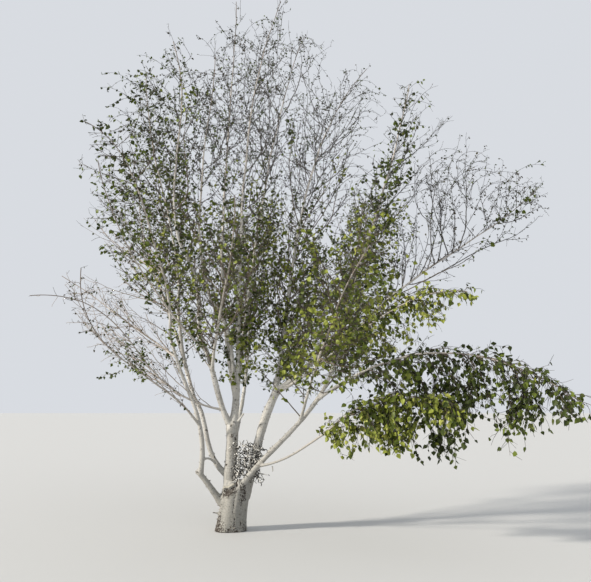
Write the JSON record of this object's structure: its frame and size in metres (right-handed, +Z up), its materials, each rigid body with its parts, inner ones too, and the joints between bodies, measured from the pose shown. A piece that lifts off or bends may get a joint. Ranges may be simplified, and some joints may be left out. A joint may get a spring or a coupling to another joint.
{
  "type": "birch tree",
  "caption": "Many-stemmed white birch with fused flared trunk, bare whips in the upper crown and leafy boughs low on the right.",
  "frame": {"origin": "middle of the flat cut under the trunk, at ground level", "axes": "+Z up, -Y towards the viewer of the picture, +X to the viewer's right, where the long boughs reach"},
  "size_m": [7.4388, 6.0118, 8.0048],
  "materials": {
    "bark": "matte",
    "foliage": "satin",
    "bare_twigs": "matte"
  },
  "bodies": {
    "root": {"far_right": "bark", "front_middle": "bark", "front_right": "bark", "leaves_far_middle": "foliage", "leaves_far_tip": "foliage", "leaves_front_middle": "foliage", "leaves_front_right": "foliage", "leaves_inner_left": "foliage", "leaves_inner_left_top": "foliage", "leaves_left_lower": "foliage", "leaves_left_tip": "foliage", "leaves_long_sweep": "foliage", "leaves_low_right": "foliage", "leaves_middle_back": "foliage", "leaves_middle_front": "foliage", "leaves_middle_right": "foliage", "leaves_midleft": "foliage", "leaves_rear_left": "foliage", "leaves_rear_middle": "foliage", "leaves_rear_right": "foliage", "leaves_right_front": "foliage", "leaves_right_front_top": "foliage", "leaves_right_low": "foliage", "leaves_right_rear": "foliage", "leaves_side_left": "foliage", "left_foot": "bark", "long_sweep": "bark", "low_left_front": "bark", "low_left_mid": "bark", "low_left_rear": "bark", "low_right": "bark", "middle_back": "bark", "middle_front": "bark", "middle_left": "bark", "middle_right": "bark", "midleft_side": "bark", "rear_left": "bark", "rear_middle": "bark", "rear_right": "bark", "right_front": "bark", "right_low": "bark", "right_rear": "bark", "stem_central": "bark", "stem_left_inner": "bark", "stem_left_outer": "bark", "stem_middle": "bark", "stem_midleft": "bark", "stem_right": "bark", "trunk": "bark", "twigs_fan_inner": "bare_twigs", "twigs_fan_tip": "bare_twigs", "twigs_low_left_front": "bare_twigs", "twigs_low_left_middle": "bare_twigs", "twigs_low_left_rear": "bare_twigs", "twigs_middle_back_top": "bare_twigs", "twigs_middle_front_top": "bare_twigs", "twigs_middle_left_top": "bare_twigs", "twigs_middle_right_top": "bare_twigs", "twigs_midleft_top": "bare_twigs", "twigs_right_rear_top": "bare_twigs"}
  },
  "joints": []
}
